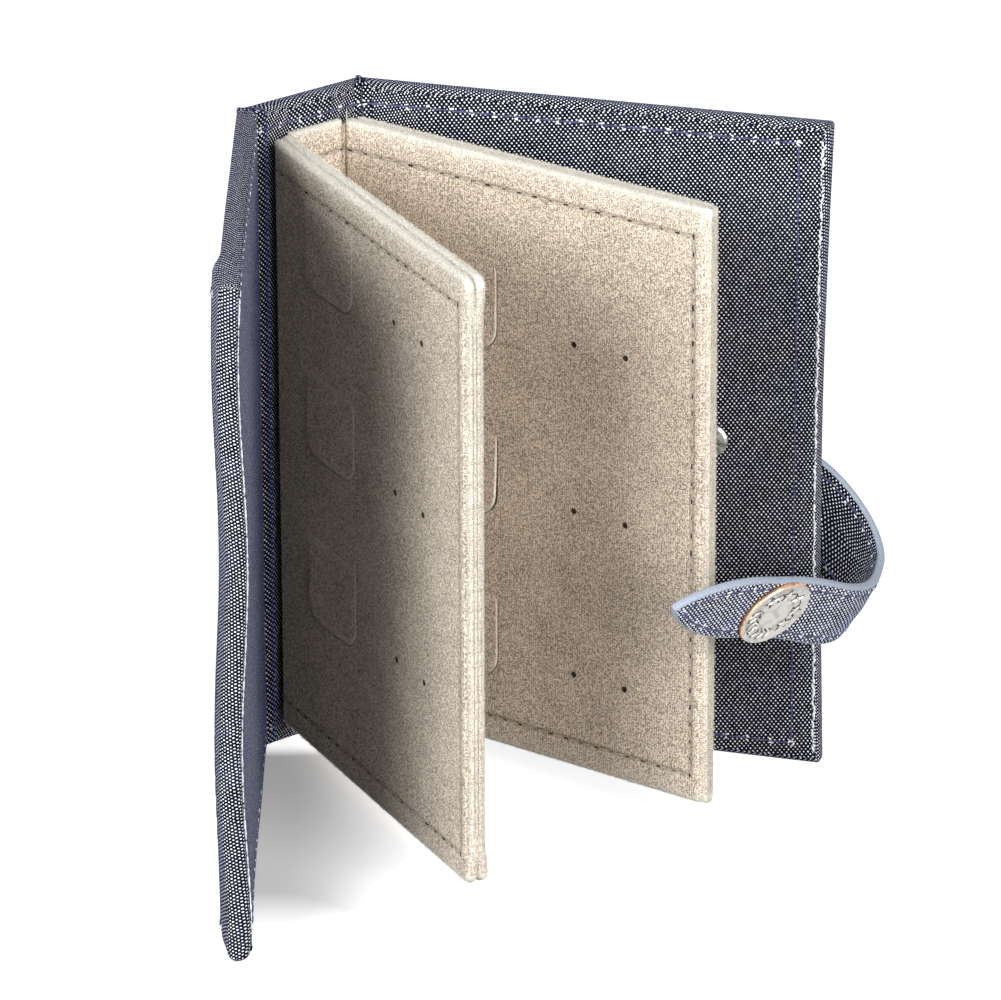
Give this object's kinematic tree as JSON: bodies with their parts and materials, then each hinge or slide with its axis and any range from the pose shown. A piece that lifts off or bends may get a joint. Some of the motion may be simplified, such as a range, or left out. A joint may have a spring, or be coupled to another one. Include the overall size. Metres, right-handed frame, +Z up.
{
  "type": "earring book",
  "caption": "Stand-up denim book with hinged velvet pages that hold earrings in stud holes and under lift-up tongues, closed by a strap with a snap.",
  "frame": {"origin": "middle of the spine panel's foot, where the book stands", "axes": "+X along the spine's width towards the back cover, -Y the way the book opens, +Z up along the spine"},
  "size_m": [0.1585, 0.1157, 0.14],
  "materials": {
    "denim": "indigo twill, matt",
    "strap_denim": "indigo twill with a painted edge",
    "beige_velvet": "short pile",
    "grey_board": "matt",
    "antique_copper": "antiqued",
    "snap_steel": "satin"
  },
  "bodies": {
    "spine": {"spine_cloth": "denim", "spine_board": "grey_board", "spine_lining": "denim", "page_spine_velvet": "beige_velvet", "page_spine_board": "grey_board", "front_crease_cloth": "denim", "back_crease_cloth": "denim", "left_crease_velvet": "beige_velvet", "right_crease_velvet": "beige_velvet"},
    "front_cover": {"front_cover_cloth": "denim", "front_cover_board": "grey_board", "front_cover_lining": "denim", "snap_socket": "snap_steel", "snap_socket_plate": "snap_steel"},
    "back_cover": {"back_cover_cloth": "denim", "back_cover_board": "grey_board", "back_cover_lining": "denim", "strap_rivet_post": "snap_steel", "strap_rivet_cap": "snap_steel"},
    "left_page": {"left_inner_velvet": "beige_velvet", "left_inner_board": "grey_board", "left_outer_velvet": "beige_velvet", "left_outer_board": "grey_board"},
    "right_page": {"right_inner_velvet": "beige_velvet", "right_inner_board": "grey_board", "right_outer_velvet": "beige_velvet", "right_outer_board": "grey_board"},
    "strap": {"strap_root_cloth": "strap_denim", "strap_root_lining": "strap_denim", "strap_curl_cloth": "strap_denim", "strap_curl_lining": "strap_denim"},
    "strap_end": {"strap_end_cloth": "strap_denim", "strap_end_lining": "strap_denim", "snap_cap": "antique_copper", "snap_stud": "snap_steel"},
    "left_inner_tongue_1": {"left_inner_tongue_1": "beige_velvet"},
    "left_inner_tongue_2": {"left_inner_tongue_2": "beige_velvet"},
    "left_inner_tongue_3": {"left_inner_tongue_3": "beige_velvet"},
    "left_outer_tongue_1": {"left_outer_tongue_1": "beige_velvet"},
    "left_outer_tongue_2": {"left_outer_tongue_2": "beige_velvet"},
    "left_outer_tongue_3": {"left_outer_tongue_3": "beige_velvet"},
    "right_inner_tongue_1": {"right_inner_tongue_1": "beige_velvet"},
    "right_inner_tongue_2": {"right_inner_tongue_2": "beige_velvet"},
    "right_inner_tongue_3": {"right_inner_tongue_3": "beige_velvet"},
    "right_outer_tongue_1": {"right_outer_tongue_1": "beige_velvet"},
    "right_outer_tongue_2": {"right_outer_tongue_2": "beige_velvet"},
    "right_outer_tongue_3": {"right_outer_tongue_3": "beige_velvet"}
  },
  "joints": [
    {"name": "front_cover_hinge", "type": "hinge", "parent": "spine", "child": "front_cover", "pos_m": [-0.0155, 0.002, 0.07], "axis": [0, 0, -1], "range_deg": [-40, 50], "deforming": ["front_crease_cloth"]},
    {"name": "back_cover_hinge", "type": "hinge", "parent": "spine", "child": "back_cover", "pos_m": [0.0155, 0.002, 0.07], "axis": [0, 0, 1], "range_deg": [-34.5, 55.5], "deforming": ["back_crease_cloth"]},
    {"name": "left_page_hinge", "type": "hinge", "parent": "spine", "child": "left_page", "pos_m": [-0.0067, -0.0045, 0.07], "axis": [0, 0, -1], "range_deg": [-15.1, 18.8], "deforming": ["left_crease_velvet"]},
    {"name": "right_page_hinge", "type": "hinge", "parent": "spine", "child": "right_page", "pos_m": [0.0067, -0.0045, 0.07], "axis": [0, 0, 1], "range_deg": [-15.6, 25], "deforming": ["right_crease_velvet"]},
    {"name": "strap_swivel", "type": "hinge", "parent": "back_cover", "child": "strap", "pos_m": [0.05855, -0.06063, 0.07], "axis": [-0.8241, -0.5664, 0], "range_deg": [-4, 34]},
    {"name": "strap_curl", "type": "hinge", "parent": "strap", "child": "strap_end", "pos_m": [0.06949, -0.09112, 0.04887], "axis": [-0.3167, 0.4608, -0.829], "range_deg": [-50, 6], "stiffness_Nm_per_rad": 0.03, "deforming": ["strap_curl_cloth", "strap_curl_lining"]},
    {"name": "left_inner_tongue_1_lift", "type": "hinge", "parent": "left_page", "child": "left_inner_tongue_1", "pos_m": [-0.01281, -0.03101, 0.0537], "axis": [-0.2334, -0.9724, 0], "range_deg": [0, 40]},
    {"name": "left_inner_tongue_2_lift", "type": "hinge", "parent": "left_page", "child": "left_inner_tongue_2", "pos_m": [-0.01281, -0.03101, 0.0897], "axis": [-0.2334, -0.9724, 0], "range_deg": [0, 40]},
    {"name": "left_inner_tongue_3_lift", "type": "hinge", "parent": "left_page", "child": "left_inner_tongue_3", "pos_m": [-0.01281, -0.03101, 0.1257], "axis": [-0.2334, -0.9724, 0], "range_deg": [0, 40]},
    {"name": "left_outer_tongue_1_lift", "type": "hinge", "parent": "left_page", "child": "left_outer_tongue_1", "pos_m": [-0.01777, -0.02982, 0.0537], "axis": [0.2334, 0.9724, 0], "range_deg": [0, 24]},
    {"name": "left_outer_tongue_2_lift", "type": "hinge", "parent": "left_page", "child": "left_outer_tongue_2", "pos_m": [-0.01777, -0.02982, 0.0897], "axis": [0.2334, 0.9724, 0], "range_deg": [0, 24]},
    {"name": "left_outer_tongue_3_lift", "type": "hinge", "parent": "left_page", "child": "left_outer_tongue_3", "pos_m": [-0.01777, -0.02982, 0.1257], "axis": [0.2334, 0.9724, 0], "range_deg": [0, 24]},
    {"name": "right_inner_tongue_1_lift", "type": "hinge", "parent": "right_page", "child": "right_inner_tongue_1", "pos_m": [0.01304, -0.03095, 0.038], "axis": [-0.2419, 0.9703, 0], "range_deg": [0, 40]},
    {"name": "right_inner_tongue_2_lift", "type": "hinge", "parent": "right_page", "child": "right_inner_tongue_2", "pos_m": [0.01304, -0.03095, 0.074], "axis": [-0.2419, 0.9703, 0], "range_deg": [0, 40]},
    {"name": "right_inner_tongue_3_lift", "type": "hinge", "parent": "right_page", "child": "right_inner_tongue_3", "pos_m": [0.01304, -0.03095, 0.11], "axis": [-0.2419, 0.9703, 0], "range_deg": [0, 40]},
    {"name": "right_outer_tongue_1_lift", "type": "hinge", "parent": "right_page", "child": "right_outer_tongue_1", "pos_m": [0.01799, -0.02972, 0.038], "axis": [0.2419, -0.9703, 0], "range_deg": [0, 24]},
    {"name": "right_outer_tongue_2_lift", "type": "hinge", "parent": "right_page", "child": "right_outer_tongue_2", "pos_m": [0.01799, -0.02972, 0.074], "axis": [0.2419, -0.9703, 0], "range_deg": [0, 24]},
    {"name": "right_outer_tongue_3_lift", "type": "hinge", "parent": "right_page", "child": "right_outer_tongue_3", "pos_m": [0.01799, -0.02972, 0.11], "axis": [0.2419, -0.9703, 0], "range_deg": [0, 24]}
  ],
  "couplings": [
    {"joint": "left_page_hinge", "follows": "front_cover_hinge", "ratio": 0.375},
    {"joint": "right_page_hinge", "follows": "back_cover_hinge", "ratio": 0.4493}
  ]
}
